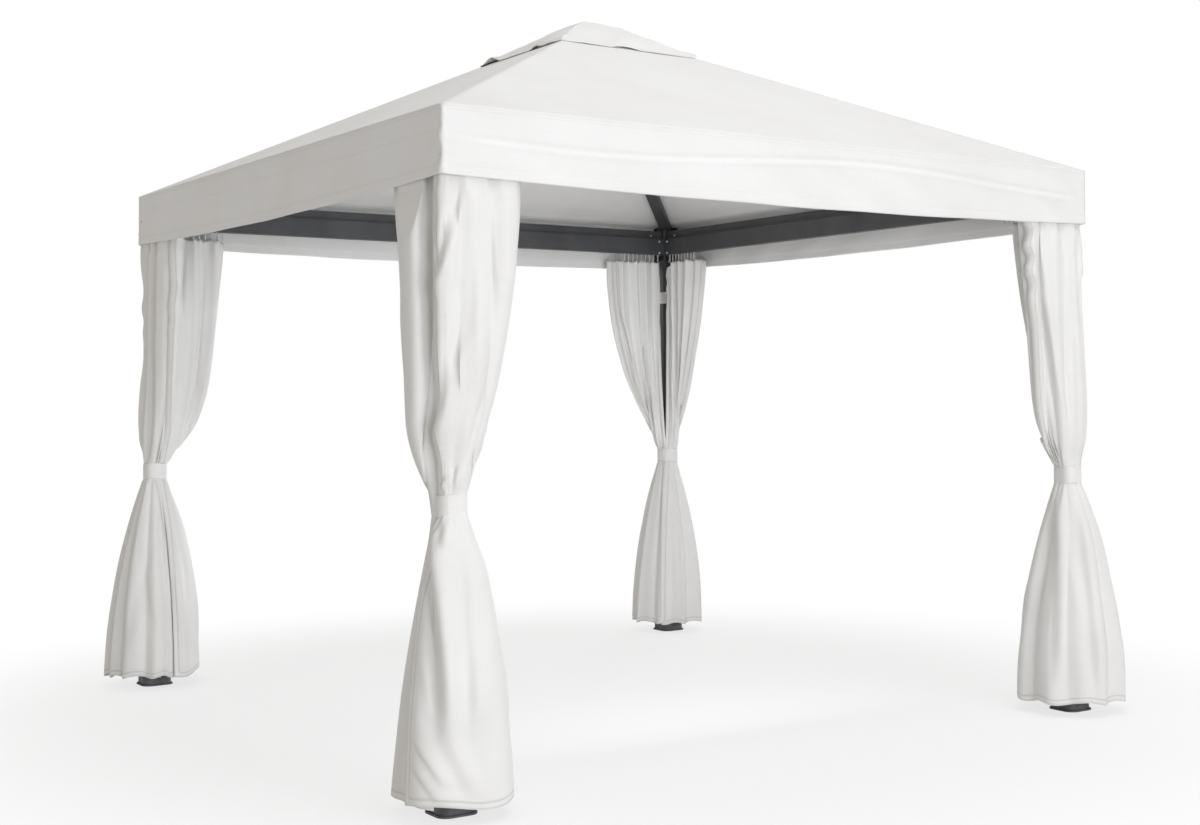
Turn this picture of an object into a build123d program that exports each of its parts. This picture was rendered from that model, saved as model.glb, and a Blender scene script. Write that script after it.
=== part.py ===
from build123d import *
from math import cos, hypot, pi, radians, sin, sqrt
import os

# Garden gazebo with a square plan: four posts on feet, a ring of beams, four hip rafters,
# a sewn cloth roof with a raised vent hood, and a pair of tied curtains at each post.
# Lengths are in millimetres. The origin is on the ground, in the middle of the four posts.
# +X runs along the front side and +Y runs from the front side to the back side.

# Cloth roof
roof_side = 3000
eave_height = 2235
apex_height = 2930
cloth_thickness = 2
valance_drop = 224
valance_sag = 20
vent_hole_side = 500

# Vent hood
hood_side = 690
hood_edge_lift = 6
hood_top_side = 60
hood_top_lift = 11

# Posts
post_inset = 58
post_side = 70
post_corner = 16
tube_wall = 2

# Feet
foot_side = 128
foot_corner = 35
foot_height = 80
foot_wall = 4
foot_edge_round = 12
flange_side = 143
flange_thickness = 8

# Corner joints on top of the posts
joint_side = 110
joint_corner = 18
joint_over_eave = 3
joint_height = 197
joint_edge_round = 17
spigot_length = 60
fit_clearance = 0.3

# Beams, hollow, with a curtain track under them and a recessed strip on top
beam_under_eave = 21
beam_height = 133
beam_step_height = 88
beam_depth = 40
strip_depth = 18
track_height = 16
track_slot = 8

# Hip rafters and the hub where they meet
rafter_width = 60
rafter_height = 40
rafter_corner = 6
rafter_overrun = 25
hub_side = 120
hub_over = 6
hub_under = 13
hub_wall = 5

# Frame that carries the hood
boss_radius = 15
disc_radius = 30
disc_thickness = 4
arm_width = 16
arm_thickness = 5
arm_end_gap = 12
arm_lap = 2

# Curtains
curtain_hem = 50
curtain_reach = 330
curtain_inner_reach = 64
curtain_outer_gap = 1
skirt_reach = 203
ankle_rise = 60
waist_middle = 970
waist_half = 47.5
pleat_count = 6
pleat_share = 0.11
seam_gap = 0.15
neck_clearance = 3.5

# Bands and straps of the same cloth
band_height = 72
band_thickness = 2.5
strap_height = 64
strap_thickness = 2
strap_middle = 1846

# Curtain runners
runner_count = 9
runner_first = 84
runner_head = (14, 16, 3)
runner_neck = (4, 6)

# Worked out from the sizes above
roof_half = roof_side / 2
post_reach = roof_half - post_inset
roof_slope = (apex_height - eave_height) / roof_half
hip_slope = roof_slope / sqrt(2)
hood_edge_height = apex_height - roof_slope * hood_side / 2 + hood_edge_lift
hood_top_height = apex_height + hood_top_lift
joint_top = eave_height + joint_over_eave
joint_bottom = joint_top - joint_height
beam_top = eave_height - beam_under_eave
beam_bottom = beam_top - beam_height
beam_step = beam_bottom + beam_step_height
beam_plane = post_reach - joint_side / 2
curtain_top = joint_bottom - fit_clearance
diagonal_angles = {"front_left": 225, "front_right": 315, "back_right": 45, "back_left": 135}
side_angles = {"front": 0, "right": 90, "back": 180, "left": 270}
corner_signs = {
    "front_left": (-1, -1),
    "front_right": (1, -1),
    "back_left": (-1, 1),
    "back_right": (1, 1),
}


def save(shape, name):
    export_step(shape, f"parts/{name}.step")


def square_prism(side, corner, low, high):
    """Upright prism with a rounded square section, centred on the Z axis."""
    section = RectangleRounded(side, side, corner) if corner else Rectangle(side, side)
    return extrude(Plane.XY.offset(low) * section, high - low)


def block(x_span, y_span, z_span):
    """Plain block between three pairs of limits."""
    size = [span[1] - span[0] for span in (x_span, y_span, z_span)]
    middle = [(span[0] + span[1]) / 2 for span in (x_span, y_span, z_span)]
    return Pos(*middle) * Box(*size)


def place_at_corner(shape, corner):
    """Moves a shape drawn round the front left post's axis to the named post.

    It is drawn with +X and +Y pointing along the two beams, and mirrored for the other posts."""
    sign_x, sign_y = corner_signs[corner]
    placed = Pos(-post_reach, -post_reach, 0) * shape
    if sign_x > 0:
        placed = mirror(placed, about=Plane.YZ)
    if sign_y > 0:
        placed = mirror(placed, about=Plane.XZ)
    return placed


def edges_at(shape, height):
    """Edges of a shape that lie level at one height."""
    return shape.edges().filter_by_position(Axis.Z, height - 0.01, height + 0.01)


def frustum(low_side, low_height, high_side, high_height):
    """Four-sided frustum on the Z axis, which gives the slopes of the roof and the hood."""
    low = Plane.XY.offset(low_height) * Rectangle(low_side, low_side)
    high = Plane.XY.offset(high_height) * Rectangle(high_side, high_side)
    return loft([low, high], ruled=True)


def sector(angle, reach, height):
    """Quarter of the plan, from the middle of the roof out to two corners, facing angle."""
    plan = Polyline((0, 0), (-reach, -reach), (reach, -reach), close=True)
    return Rot(0, 0, angle) * extrude(make_face(plan), height)


# Feet and posts


def foot():
    """Moulded foot: a flange on the ground and a hollow boot that the post stands in."""
    flange = square_prism(flange_side, foot_corner + 5, 0, flange_thickness)
    flange = fillet(edges_at(flange, flange_thickness), flange_thickness * 0.6)
    boot = square_prism(foot_side, foot_corner, 0, foot_height)
    boot = fillet(edges_at(boot, foot_height), foot_edge_round)
    hollow_side = foot_side - 2 * foot_wall
    hollow = square_prism(
        hollow_side, foot_corner - foot_wall, flange_thickness, foot_height - foot_wall
    )
    hollow = fillet(edges_at(hollow, foot_height - foot_wall), foot_edge_round - foot_wall)
    socket = square_prism(
        post_side + 2 * fit_clearance, post_corner, flange_thickness, foot_height + 1
    )
    return flange + boot - hollow - socket


def post():
    """Square tube with rounded corners, from the flange up to the corner joint."""
    outside = square_prism(post_side, post_corner, flange_thickness, joint_bottom)
    bore_side = post_side - 2 * tube_wall
    bore = square_prism(bore_side, post_corner - tube_wall, flange_thickness, joint_bottom)
    return outside - bore


# Beams


def beam_section():
    """Section of the front beam across Y and Z, without its chambers."""
    inner, outer = -beam_plane, -beam_plane - beam_depth
    strip_face = outer + strip_depth
    outline = Polyline(
        (inner, beam_bottom),
        (inner, beam_step),
        (strip_face, beam_step),
        (strip_face, beam_top),
        (outer, beam_top),
        (outer, beam_bottom),
        close=True,
    )
    return make_face(outline)


def chamber(low, high, depth, clearance=0.0):
    """Limits in Y and Z of a chamber inside the front beam, less a clearance all round."""
    outer = -beam_plane - beam_depth
    shrink = tube_wall + clearance
    return (outer + shrink, outer + depth - shrink), (low + shrink, high - shrink)


def main_chamber(clearance=0.0):
    """The chamber above the curtain track, which takes the spigots of the corner joints."""
    return chamber(beam_bottom + track_height + tube_wall, beam_step, beam_depth, clearance)


def beam():
    """Front beam: one hollow profile with three chambers and a slot for the curtain runners."""
    span = (-beam_plane, beam_plane)
    profile = Plane.YZ.offset(-beam_plane) * beam_section()
    solid = extrude(profile, 2 * beam_plane)
    track = chamber(beam_bottom, beam_bottom + track_height + 2 * tube_wall, beam_depth)
    strip = chamber(beam_step - tube_wall, beam_top, strip_depth)
    slot_middle = -beam_plane - beam_depth / 2
    slot_y = (slot_middle - track_slot / 2, slot_middle + track_slot / 2)
    slot = (slot_y, (beam_bottom, beam_bottom + tube_wall))
    for y_span, z_span in (main_chamber(), track, strip, slot):
        solid -= block(span, y_span, z_span)
    return solid


# Rafters, hub and corner joints


def hip_height(distance):
    """Height of the roof's hip line at a distance from the middle along the diagonal."""
    return apex_height - hip_slope * distance


# A rafter lies under the hip, so that the rounded edges of its flat top meet the two slopes
side_slope = roof_slope / sqrt(2)
edge_fall = side_slope * (rafter_width / 2 - rafter_corner)
edge_rise = rafter_corner * (hypot(1, side_slope) - 1)
rafter_drop = cloth_thickness + fit_clearance + edge_fall + edge_rise
rafter_tall = rafter_height * hypot(1, hip_slope)
rafter_start = hub_side / 2
rafter_end = post_reach * sqrt(2) + rafter_overrun
hub_top = hip_height(rafter_start) - rafter_drop + hub_over
hub_bottom = hip_height(rafter_start) - rafter_drop - rafter_tall - hub_under


def rafter_bar(start, end, shrink=0.0, corner=0.0):
    """Sloping bar along +X under the hip line, with upright ends."""
    wall_tall = shrink * hypot(1, hip_slope)

    def top(distance):
        return hip_height(distance) - rafter_drop - wall_tall

    def bottom(distance):
        return hip_height(distance) - rafter_drop - rafter_tall + wall_tall

    side = Polyline(
        (start, bottom(start)),
        (start, top(start)),
        (end, top(end)),
        (end, bottom(end)),
        close=True,
    )
    half_width = rafter_width / 2 - shrink
    bar = extrude(Plane.XZ * make_face(side), half_width, both=True)
    if corner:
        long_edges = [e for e in bar.edges() if e.length > (end - start)]
        bar = fillet(long_edges, corner)
    return bar


def rafter():
    """Hip rafter along +X: a rectangular tube from the hub to past the post."""
    tube = rafter_bar(rafter_start, rafter_end, corner=rafter_corner)
    bore = rafter_bar(
        rafter_start - tube_wall,
        rafter_end + tube_wall,
        tube_wall,
        rafter_corner - tube_wall,
    )
    return tube - bore


def corner_joint():
    """Casting on a post: spigots into the post and two beams, and a saddle for the rafter."""
    body = square_prism(joint_side, joint_corner, joint_bottom, joint_top)
    body = fillet(edges_at(body, joint_top), joint_edge_round)
    body = fillet(edges_at(body, joint_bottom), joint_edge_round)
    reach = rafter_end + fit_clearance
    saddle_half = rafter_width / 2 + fit_clearance
    low_line = [(d, hip_height(d) - rafter_drop - rafter_tall) for d in (reach / 2, reach)]
    side = Polyline(*low_line, (reach, apex_height), (reach / 2, apex_height), close=True)
    saddle = extrude(Plane.XZ * make_face(side), saddle_half, both=True)
    saddle = Pos(post_reach, post_reach, 0) * (Rot(0, 0, 225) * saddle)
    body -= saddle
    post_bore = post_side - 2 * tube_wall - 2 * fit_clearance
    body += square_prism(
        post_bore, post_corner - tube_wall, joint_bottom - spigot_length, joint_bottom
    )
    y_span, z_span = main_chamber(fit_clearance)
    y_span = [y + post_reach for y in y_span]
    half = joint_side / 2
    run = (half - joint_corner, half + spigot_length)
    body += block(run, y_span, z_span)
    body += block(y_span, run, z_span)
    return body


def hub():
    """Square hub, turned so that each flat side meets one rafter, with a spigot into each."""
    body = Rot(0, 0, 45) * square_prism(hub_side, 0, hub_bottom, hub_top)
    hollow_side = hub_side - 2 * hub_wall
    body -= Rot(0, 0, 45) * square_prism(hollow_side, 0, hub_bottom, hub_top - hub_wall)
    spigot = rafter_bar(
        rafter_start - hub_wall,
        rafter_start + spigot_length,
        tube_wall + fit_clearance,
        rafter_corner - tube_wall,
    )
    for angle in diagonal_angles.values():
        body += Rot(0, 0, angle) * spigot
    return body


def hood_hip_height(distance):
    """Height of the hood's hip line at a distance from the middle along the diagonal."""
    start = hood_top_side / sqrt(2)
    fall = (hood_top_height - hood_edge_height) / ((hood_side - hood_top_side) / sqrt(2))
    return hood_top_height - fall * (distance - start)


def hood_frame():
    """Boss and disc on the hub, with four flat arms under the hips of the hood."""
    under_cloth = hood_top_height - cloth_thickness - fit_clearance
    boss = Pos(0, 0, hub_top) * Cylinder(
        boss_radius, under_cloth - hub_top, align=(Align.CENTER, Align.CENTER, Align.MIN)
    )
    disc = Pos(0, 0, under_cloth - disc_thickness) * Cylinder(
        disc_radius, disc_thickness, align=(Align.CENTER, Align.CENTER, Align.MIN)
    )
    hood_slope = (hood_top_height - hood_edge_height) / (hood_side / 2 - hood_top_side / 2)
    drop = cloth_thickness + fit_clearance + hood_slope * arm_width / 2 / sqrt(2)
    start = disc_radius - arm_lap
    end = hood_side / sqrt(2) - arm_end_gap
    first = min(hood_hip_height(start) - drop, under_cloth)
    last = hood_hip_height(end) - drop
    side = Polyline(
        (start, first - arm_thickness),
        (start, first),
        (hood_top_side / sqrt(2), hood_hip_height(hood_top_side / sqrt(2)) - drop),
        (end, last),
        (end, last - arm_thickness),
        close=True,
    )
    arm = extrude(Plane.XZ * make_face(side), arm_width / 2, both=True)
    frame = boss + disc
    for angle in diagonal_angles.values():
        frame += Rot(0, 0, angle) * arm
    return frame


# Cloth roof


def roof_panel(angle):
    """One gore of the roof, from the eave up to the vent hole."""
    hole_height = apex_height - roof_slope * vent_hole_side / 2
    outside = frustum(roof_side, eave_height, vent_hole_side, hole_height)
    gore = outside - Pos(0, 0, -cloth_thickness) * outside
    gore -= square_prism(
        vent_hole_side, 0, hole_height - 2 * cloth_thickness, hole_height + cloth_thickness
    )
    return gore & sector(angle, roof_side, apex_height)


def valance(angle):
    """Cloth strip that hangs from one eave, mitred at its ends, with a slack lower edge."""
    low = eave_height - valance_drop
    top = eave_height - cloth_thickness
    lower_edge = ThreePointArc((roof_half, low), (0, low - valance_sag), (-roof_half, low))
    upper_edge = Polyline((-roof_half, low), (-roof_half, top), (roof_half, top), (roof_half, low))
    face = make_face([lower_edge, upper_edge])
    strip = extrude(Plane.XZ.offset(roof_half - cloth_thickness) * face, cloth_thickness)
    return Rot(0, 0, angle) * (strip & sector(0, roof_side, apex_height))


def vent_hood():
    """Small pyramid of cloth above the vent hole, open at its lower edge."""
    outside = frustum(hood_side, hood_edge_height, hood_top_side, hood_top_height)
    return outside - Pos(0, 0, -cloth_thickness) * outside


# Curtains, bands and straps


def ring_radius(angle, along, inner, outer, squareness):
    """Distance from the post's axis to a rounded outline that reaches different ways.

    It reaches along towards +X, inner towards +Y, and outer towards -X and -Y."""
    reach_x = along if cos(angle) > 0 else outer
    reach_y = inner if sin(angle) > 0 else outer
    parts = abs(cos(angle) / reach_x) ** squareness + abs(sin(angle) / reach_y) ** squareness
    return parts ** (-1 / squareness)


def spaced(points, count):
    """Picks count points at even steps along a dense line of points."""
    travelled = [0.0]
    for (x0, y0), (x1, y1) in zip(points, points[1:]):
        travelled.append(travelled[-1] + hypot(x1 - x0, y1 - y0))
    picked, index = [], 0
    for step in range(count):
        target = travelled[-1] * step / (count - 1)
        while index < len(points) - 1 and travelled[index] < target - 1e-9:
            index += 1
        picked.append(points[index])
    return picked


def half_ring(along, inner, outer, squareness, pleats):
    """Outline of a curtain from the outer diagonal round to the inner one, with its pleats."""
    dense = []
    steps = 720
    for step in range(steps + 1):
        angle = radians(-135) + pi * step / steps
        radius = ring_radius(angle, along, inner, outer, squareness)
        dense.append((radius * cos(angle), radius * sin(angle)))
    points = spaced(dense, 2 * pleat_count + 1)
    shaped = []
    for index, (x, y) in enumerate(points):
        keep = 1 - pleats if index % 2 else 1
        shaped.append((x * keep, y * keep))
    return shaped


def curtain_section(height, along, inner, outer, squareness, pleats, core):
    """Points of a level section of a curtain that lies against a square core round the post."""
    outline = half_ring(along, inner, outer, squareness, pleats)
    outline += [(core, core), (core, -core), (-core, -core)]
    return [(x + seam_gap, y - seam_gap, height) for x, y in outline]


def skin(sections):
    """Solid skinned over level sections, each a list of as many points in the same order."""
    walls = []
    for low, high in zip(sections, sections[1:]):
        for index in range(len(low)):
            a, b = low[index - 1], low[index]
            c, d = high[index], high[index - 1]
            walls.append(Face(Wire.make_polygon([a, b, c])))
            walls.append(Face(Wire.make_polygon([a, c, d])))
    ends = [Face(Wire.make_polygon(sections[0])), Face(Wire.make_polygon(sections[-1]))]
    return Solid(Shell(walls + ends))


def curtain():
    """Curtain on the beam along +X: gathered on its track, tied at the post, flared below."""
    post_core = post_side / 2 + fit_clearance
    neck_core = post_side / 2 + neck_clearance
    boot_core = foot_side / 2 + fit_clearance
    band_low = waist_middle - band_height / 2
    band_high = waist_middle + band_height / 2
    upper = curtain_top - band_high
    lower = band_low - curtain_hem
    waist = (waist_half, waist_half, waist_half, 3.2, 0.05, post_core)

    def flare(share, core):
        reach = waist_half + share * (skirt_reach - waist_half)
        return reach, reach, reach, 2.4, pleat_share * min(1, share * 1.5), core

    def spread(share, core):
        along = waist_half + share * (curtain_reach - waist_half)
        inner = waist_half + share * (curtain_inner_reach - waist_half)
        outer = waist_half + share * (post_inset - cloth_thickness - curtain_outer_gap - waist_half)
        return along, inner, outer, 3.2 + 2 * share, 0.04 + 0.02 * share, core

    sections = [
        (curtain_hem, *flare(1, boot_core)),
        (foot_height + fit_clearance, *flare(0.96, boot_core)),
        (foot_height + ankle_rise, *flare(0.9, neck_core)),
        (band_low - 0.42 * lower, *flare(0.6, neck_core)),
        (band_low, *waist),
        (band_high, *waist),
        (band_high + 0.45 * upper, *spread(0.72, neck_core)),
        (band_high + 0.9 * upper, *spread(1, neck_core)),
        (curtain_top, *spread(1, neck_core)),
    ]
    return skin([curtain_section(*section) for section in sections])


def band(half, squareness, thickness, low, height):
    """Closed cloth band with a rounded square outline, outside a given half width."""

    def outline(reach):
        points = []
        count = 48
        for step in range(count):
            angle = 2 * pi * step / count
            radius = ring_radius(angle, reach, reach, reach, squareness)
            points.append((radius * cos(angle), radius * sin(angle)))
        return make_face(Polyline(*points, close=True))

    ring = outline(half + thickness) - outline(half)
    return extrude(Plane.XY.offset(low) * ring, height)


def tie_band():
    """Band that ties both curtains to the post."""
    half = waist_half + fit_clearance + 2 * seam_gap
    return band(half, 3.2, band_thickness, waist_middle - band_height / 2, band_height)


def post_strap():
    """Strap round a bare post above the curtains' waist."""
    inside = post_side + 2 * fit_clearance
    low = strap_middle - strap_height / 2
    high = strap_middle + strap_height / 2
    outside = inside + 2 * strap_thickness
    ring = square_prism(outside, post_corner + strap_thickness, low, high)
    return ring - square_prism(inside, post_corner, low, high)


def runners():
    """Row of runners for one curtain: heads in the beam's track and necks down to the cloth."""
    line = post_reach - beam_plane - beam_depth / 2
    last = curtain_reach * 0.93
    step = (last - runner_first) / (runner_count - 1)
    seat = beam_bottom + tube_wall
    head_x, head_y, head_z = runner_head
    neck_x, neck_y = runner_neck
    row = []
    for index in range(runner_count):
        x = runner_first + index * step
        head = block(
            (x - head_x / 2, x + head_x / 2),
            (line - head_y / 2, line + head_y / 2),
            (seat, seat + head_z),
        )
        neck = block(
            (x - neck_x / 2, x + neck_x / 2),
            (line - neck_y / 2, line + neck_y / 2),
            (curtain_top, seat),
        )
        row.append(head + neck)
    return row


def swap_beams(shape):
    """The same piece on the other beam of a corner: its mirror image across the diagonal."""
    return mirror(shape, about=Plane((0, 0, 0), x_dir=(0, 0, 1), z_dir=(1, -1, 0)))


os.makedirs("parts", exist_ok=True)

one_foot, one_post, one_joint = foot(), post(), corner_joint()
one_curtain, one_band, one_strap = curtain(), tie_band(), post_strap()
one_row = runners()
all_straps, all_runners = [], []
for corner in corner_signs:
    save(place_at_corner(one_foot, corner), f"foot_{corner}")
    save(place_at_corner(one_post, corner), f"post_{corner}")
    save(place_at_corner(one_joint, corner), f"corner_joint_{corner}")
    save(place_at_corner(one_band, corner), f"tie_band_{corner}")
    along_side = corner.split("_")[0]
    across_side = corner.split("_")[1]
    save(place_at_corner(one_curtain, corner), f"curtain_{corner}_on_{along_side}")
    save(place_at_corner(swap_beams(one_curtain), corner), f"curtain_{corner}_on_{across_side}")
    all_straps.append(place_at_corner(one_strap, corner))
    for runner in one_row:
        all_runners.append(place_at_corner(runner, corner))
        all_runners.append(place_at_corner(swap_beams(runner), corner))
save(Compound(children=all_straps), "post_straps")
save(Compound(children=all_runners), "curtain_runners")

one_beam, one_rafter = beam(), rafter()
for side, angle in side_angles.items():
    save(Rot(0, 0, angle) * one_beam, f"beam_{side}")
    save(roof_panel(angle), f"roof_panel_{side}")
    save(valance(angle), f"valance_{side}")
for corner, angle in diagonal_angles.items():
    save(Rot(0, 0, angle) * one_rafter, f"rafter_{corner}")
save(hub(), "roof_hub")
save(hood_frame(), "hood_frame")
save(vent_hood(), "vent_hood")
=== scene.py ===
import math
import random

import bmesh
import bpy
import numpy as np
from mathutils import Matrix, Vector


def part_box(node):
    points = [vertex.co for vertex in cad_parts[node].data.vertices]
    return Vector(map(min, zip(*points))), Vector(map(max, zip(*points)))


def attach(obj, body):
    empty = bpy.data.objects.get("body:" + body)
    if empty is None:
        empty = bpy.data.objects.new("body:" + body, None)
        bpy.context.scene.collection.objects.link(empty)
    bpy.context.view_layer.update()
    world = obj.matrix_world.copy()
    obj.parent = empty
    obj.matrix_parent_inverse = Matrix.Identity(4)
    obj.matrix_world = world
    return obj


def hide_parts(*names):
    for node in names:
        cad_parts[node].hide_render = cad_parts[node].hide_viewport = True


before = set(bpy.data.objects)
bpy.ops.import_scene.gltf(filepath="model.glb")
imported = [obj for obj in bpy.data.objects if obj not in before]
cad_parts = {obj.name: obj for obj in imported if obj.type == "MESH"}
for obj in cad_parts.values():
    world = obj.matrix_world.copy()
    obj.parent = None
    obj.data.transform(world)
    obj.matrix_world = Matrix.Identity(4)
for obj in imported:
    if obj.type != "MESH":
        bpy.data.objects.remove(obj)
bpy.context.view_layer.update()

MM = 0.001
BODY = "root"
STITCH_PITCH = 7 * MM
HOOK_STEP = 41 * MM
FIRST_HOOK = 78 * MM
LAYER_GAP = 3.5 * MM
# Shares of X and Y that a step to the right has, as the photograph's camera sees it
ACROSS_VIEW = (0.82, 0.57)
CORNERS = {
    "front_left": (-1, -1),
    "front_right": (1, -1),
    "back_left": (-1, 1),
    "back_right": (1, 1),
}
SIDES = {"front": 0, "right": 90, "back": 180, "left": 270}


# Sizes read from the frame

post_low, post_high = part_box("post_front_left")
POST = -(post_low.x + post_high.x) / 2
POST_HALF = (post_high.x - post_low.x) / 2
valance_low, valance_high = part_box("valance_front")
ROOF_HALF = valance_high.x
VALANCE_LOW = valance_low.z
roof_low, roof_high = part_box("roof_panel_front")
HOLE_HALF = -roof_high.y
ROOF_SLOPE = (roof_high.z - roof_low.z) / (ROOF_HALF - HOLE_HALF)
EAVE = roof_low.z
hood_low, hood_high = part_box("vent_hood")
HOOD_HALF = hood_high.x
HOOD_EDGE, HOOD_TOP = hood_low.z, hood_high.z
ROOF_AT_HOOD = EAVE + ROOF_SLOPE * (ROOF_HALF - HOOD_HALF)
band_low, band_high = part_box("tie_band_front_left")
BAND_LOW, BAND_HIGH = band_low.z, band_high.z
BAND_HALF = (band_high.x - band_low.x) / 2
strap_low, strap_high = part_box("post_straps")
curtain_low, curtain_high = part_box("curtain_front_left_on_front")
CURTAIN_TOP, CURTAIN_HEM = curtain_high.z, curtain_low.z
foot_low, foot_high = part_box("foot_front_left")
FOOT_HALF = (foot_high.x - foot_low.x) / 2
FOOT_TOP = foot_high.z
beam_low, beam_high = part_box("beam_front")
BEAM_INNER = -beam_high.y
BEAM_LOW = beam_low.z
TRACK_INSET = POST - (BEAM_INNER - beam_low.y) / 2
BEHIND_VALANCE = ROOF_HALF - POST - 4.5 * MM


# Small helpers


def linear(hex_code):
    """Linear colour of an sRGB hex value."""
    values = []
    for start in (0, 2, 4):
        part = int(hex_code[start:start + 2], 16) / 255
        values.append(part / 12.92 if part <= 0.04045 else ((part + 0.055) / 1.055) ** 2.4)
    return (*values, 1.0)


def add(tree, kind, inputs=(), **settings):
    """Adds a node, with its settings, and its inputs as values or as sockets to link."""
    node = tree.nodes.new(kind)
    for name, value in settings.items():
        setattr(node, name, value)
    for key, value in dict(inputs).items():
        if isinstance(value, bpy.types.NodeSocket):
            tree.links.new(value, node.inputs[key])
        else:
            node.inputs[key].default_value = value
    return node


def linked(name, data):
    """New object in the scene for a mesh, a lamp or a camera."""
    piece = bpy.data.objects.new(name, data)
    bpy.context.scene.collection.objects.link(piece)
    return piece


def new_material(name):
    """Empty material, its tree, the output node and the place of each point on the object."""
    material = bpy.data.materials.new(name)
    material.use_nodes = True
    material.node_tree.nodes.clear()
    output = material.node_tree.nodes.new("ShaderNodeOutputMaterial")
    place = material.node_tree.nodes.new("ShaderNodeTexCoord").outputs["Object"]
    return material, material.node_tree, output, place


def shares(rows, columns, first=0.0):
    """Shares down and across a grid, as a column and a row that broadcast to it."""
    return np.linspace(0, 1, rows)[:, None], np.linspace(first, 1, columns)[None, :]


def smooth(x, low=0.0, high=1.0):
    """Smooth step from 0 at low to 1 at high."""
    share = np.clip((x - low) / (high - low), 0, 1)
    return share * share * (3 - 2 * share)


def mixed(tree, factor, low_colour, high_colour):
    """Colour between two hex values, by a factor socket."""
    node = add(tree, "ShaderNodeMix", {"Factor": factor}, data_type="RGBA")
    node.inputs["A"].default_value = linear(low_colour)
    node.inputs["B"].default_value = linear(high_colour)
    return node.outputs["Result"]


def maths(tree, operation, *values):
    """Output of a math node over numbers or sockets."""
    return add(tree, "ShaderNodeMath", dict(enumerate(values)), operation=operation).outputs[0]


def ranged(tree, value, low, high, to_low=0.0, to_high=1.0, steps="LINEAR"):
    """Value of a socket, moved from one range to another."""
    limits = {"From Min": low, "From Max": high, "To Min": to_low, "To Max": to_high}
    node = add(tree, "ShaderNodeMapRange", {"Value": value, **limits}, interpolation_type=steps)
    return node.outputs["Result"]


def noisy(tree, place, scale, detail=2.0, distortion=0.0):
    """Grey value of a noise texture."""
    inputs = {"Vector": place, "Scale": scale, "Detail": detail, "Distortion": distortion}
    return add(tree, "ShaderNodeTexNoise", inputs).outputs["Fac"]


def bumped(tree, height, strength, distance, under=None):
    """Normal after a bump, which may lie on top of an earlier one."""
    inputs = {"Height": height, "Strength": strength, "Distance": distance}
    if under is not None:
        inputs["Normal"] = under
    return add(tree, "ShaderNodeBump", inputs).outputs["Normal"]


def principled(tree, **inputs):
    """Shader of a principled surface, its inputs named with underscores for spaces."""
    named = {key.replace("_", " "): value for key, value in inputs.items()}
    return add(tree, "ShaderNodeBsdfPrincipled", named).outputs["BSDF"]


def seen_share(tree):
    """1 for a ray from the camera, a mirror or glass, and 0 for one that only lights."""
    path = add(tree, "ShaderNodeLightPath").outputs
    either = maths(tree, "MAXIMUM", path["Is Camera Ray"], path["Is Glossy Ray"])
    return maths(tree, "MAXIMUM", either, path["Is Transmission Ray"])


# Materials


def woven_polyester(name, light, shade, crease_height, through=0.06, hems=False):
    """Plain woven polyester with a thin coating: matt, slightly mottled, soft packing creases.

    The real threads lie 0.4 mm apart. They are drawn 2.4 mm apart so that they show. Where
    hems is set, the attribute 'seam' holds the distance to the nearest hemmed edge."""
    thread = 2.4 * MM
    material, tree, output, place = new_material(name)
    uv = add(tree, "ShaderNodeUVMap", uv_map="cloth").outputs["UV"]
    cloud = noisy(tree, place, 2.3, 3.0)
    slub = add(tree, "ShaderNodeMapping", {"Vector": uv, "Scale": (9.0, 260.0, 1.0)})
    yarn = noisy(tree, slub.outputs["Vector"], 1.0)
    tone = maths(tree, "MULTIPLY_ADD", cloud, 0.75, 0.0)
    tone = maths(tree, "MULTIPLY_ADD", yarn, 0.3, tone)
    colour = mixed(tree, ranged(tree, tone, 0.35, 0.75), shade, light)
    bands = {"Vector": uv, "Scale": math.pi / (20 * thread)}
    warp = add(tree, "ShaderNodeTexWave", bands, bands_direction="X").outputs["Fac"]
    weft = add(tree, "ShaderNodeTexWave", bands, bands_direction="Y").outputs["Fac"]
    normal = bumped(tree, noisy(tree, place, 11.0, 2.0, 0.6), 0.35, crease_height)
    normal = bumped(tree, maths(tree, "MULTIPLY", warp, weft), 0.25, 0.3 * MM, normal)
    if hems:
        fold_width, line_width = 24 * MM, 3 * MM
        seam = add(tree, "ShaderNodeAttribute", attribute_name="seam").outputs["Fac"]
        fold = ranged(tree, seam, fold_width, fold_width + 5 * MM, 1.0, 0.0, "SMOOTHSTEP")
        stitched = maths(tree, "COMPARE", seam, fold_width - line_width, line_width)
        raised = maths(tree, "MULTIPLY_ADD", stitched, -0.6, fold)
        normal = bumped(tree, raised, 0.8, 2 * MM, normal)
        # The stitch line is painted darker, towards CFCCC7: painted shade in the groove of the
        # stitching.
        stitch_groove_shade = maths(tree, "MULTIPLY", stitched, 0.45)
        two_colours = {0: stitch_groove_shade, 6: colour, 7: linear("CFCCC7")}
        colour = add(tree, "ShaderNodeMix", two_colours, data_type="RGBA").outputs[2]
    cloth = principled(
        tree, Base_Color=colour, Roughness=0.55, IOR=1.46, Sheen_Weight=0.12,
        Sheen_Roughness=0.4, Normal=normal,
    )
    glow = add(tree, "ShaderNodeBsdfTranslucent", {"Color": colour, "Normal": normal})
    both = add(tree, "ShaderNodeMixShader", {0: through, 1: cloth, 2: glow.outputs["BSDF"]})
    tree.links.new(both.outputs["Shader"], output.inputs["Surface"])
    return material


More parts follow.
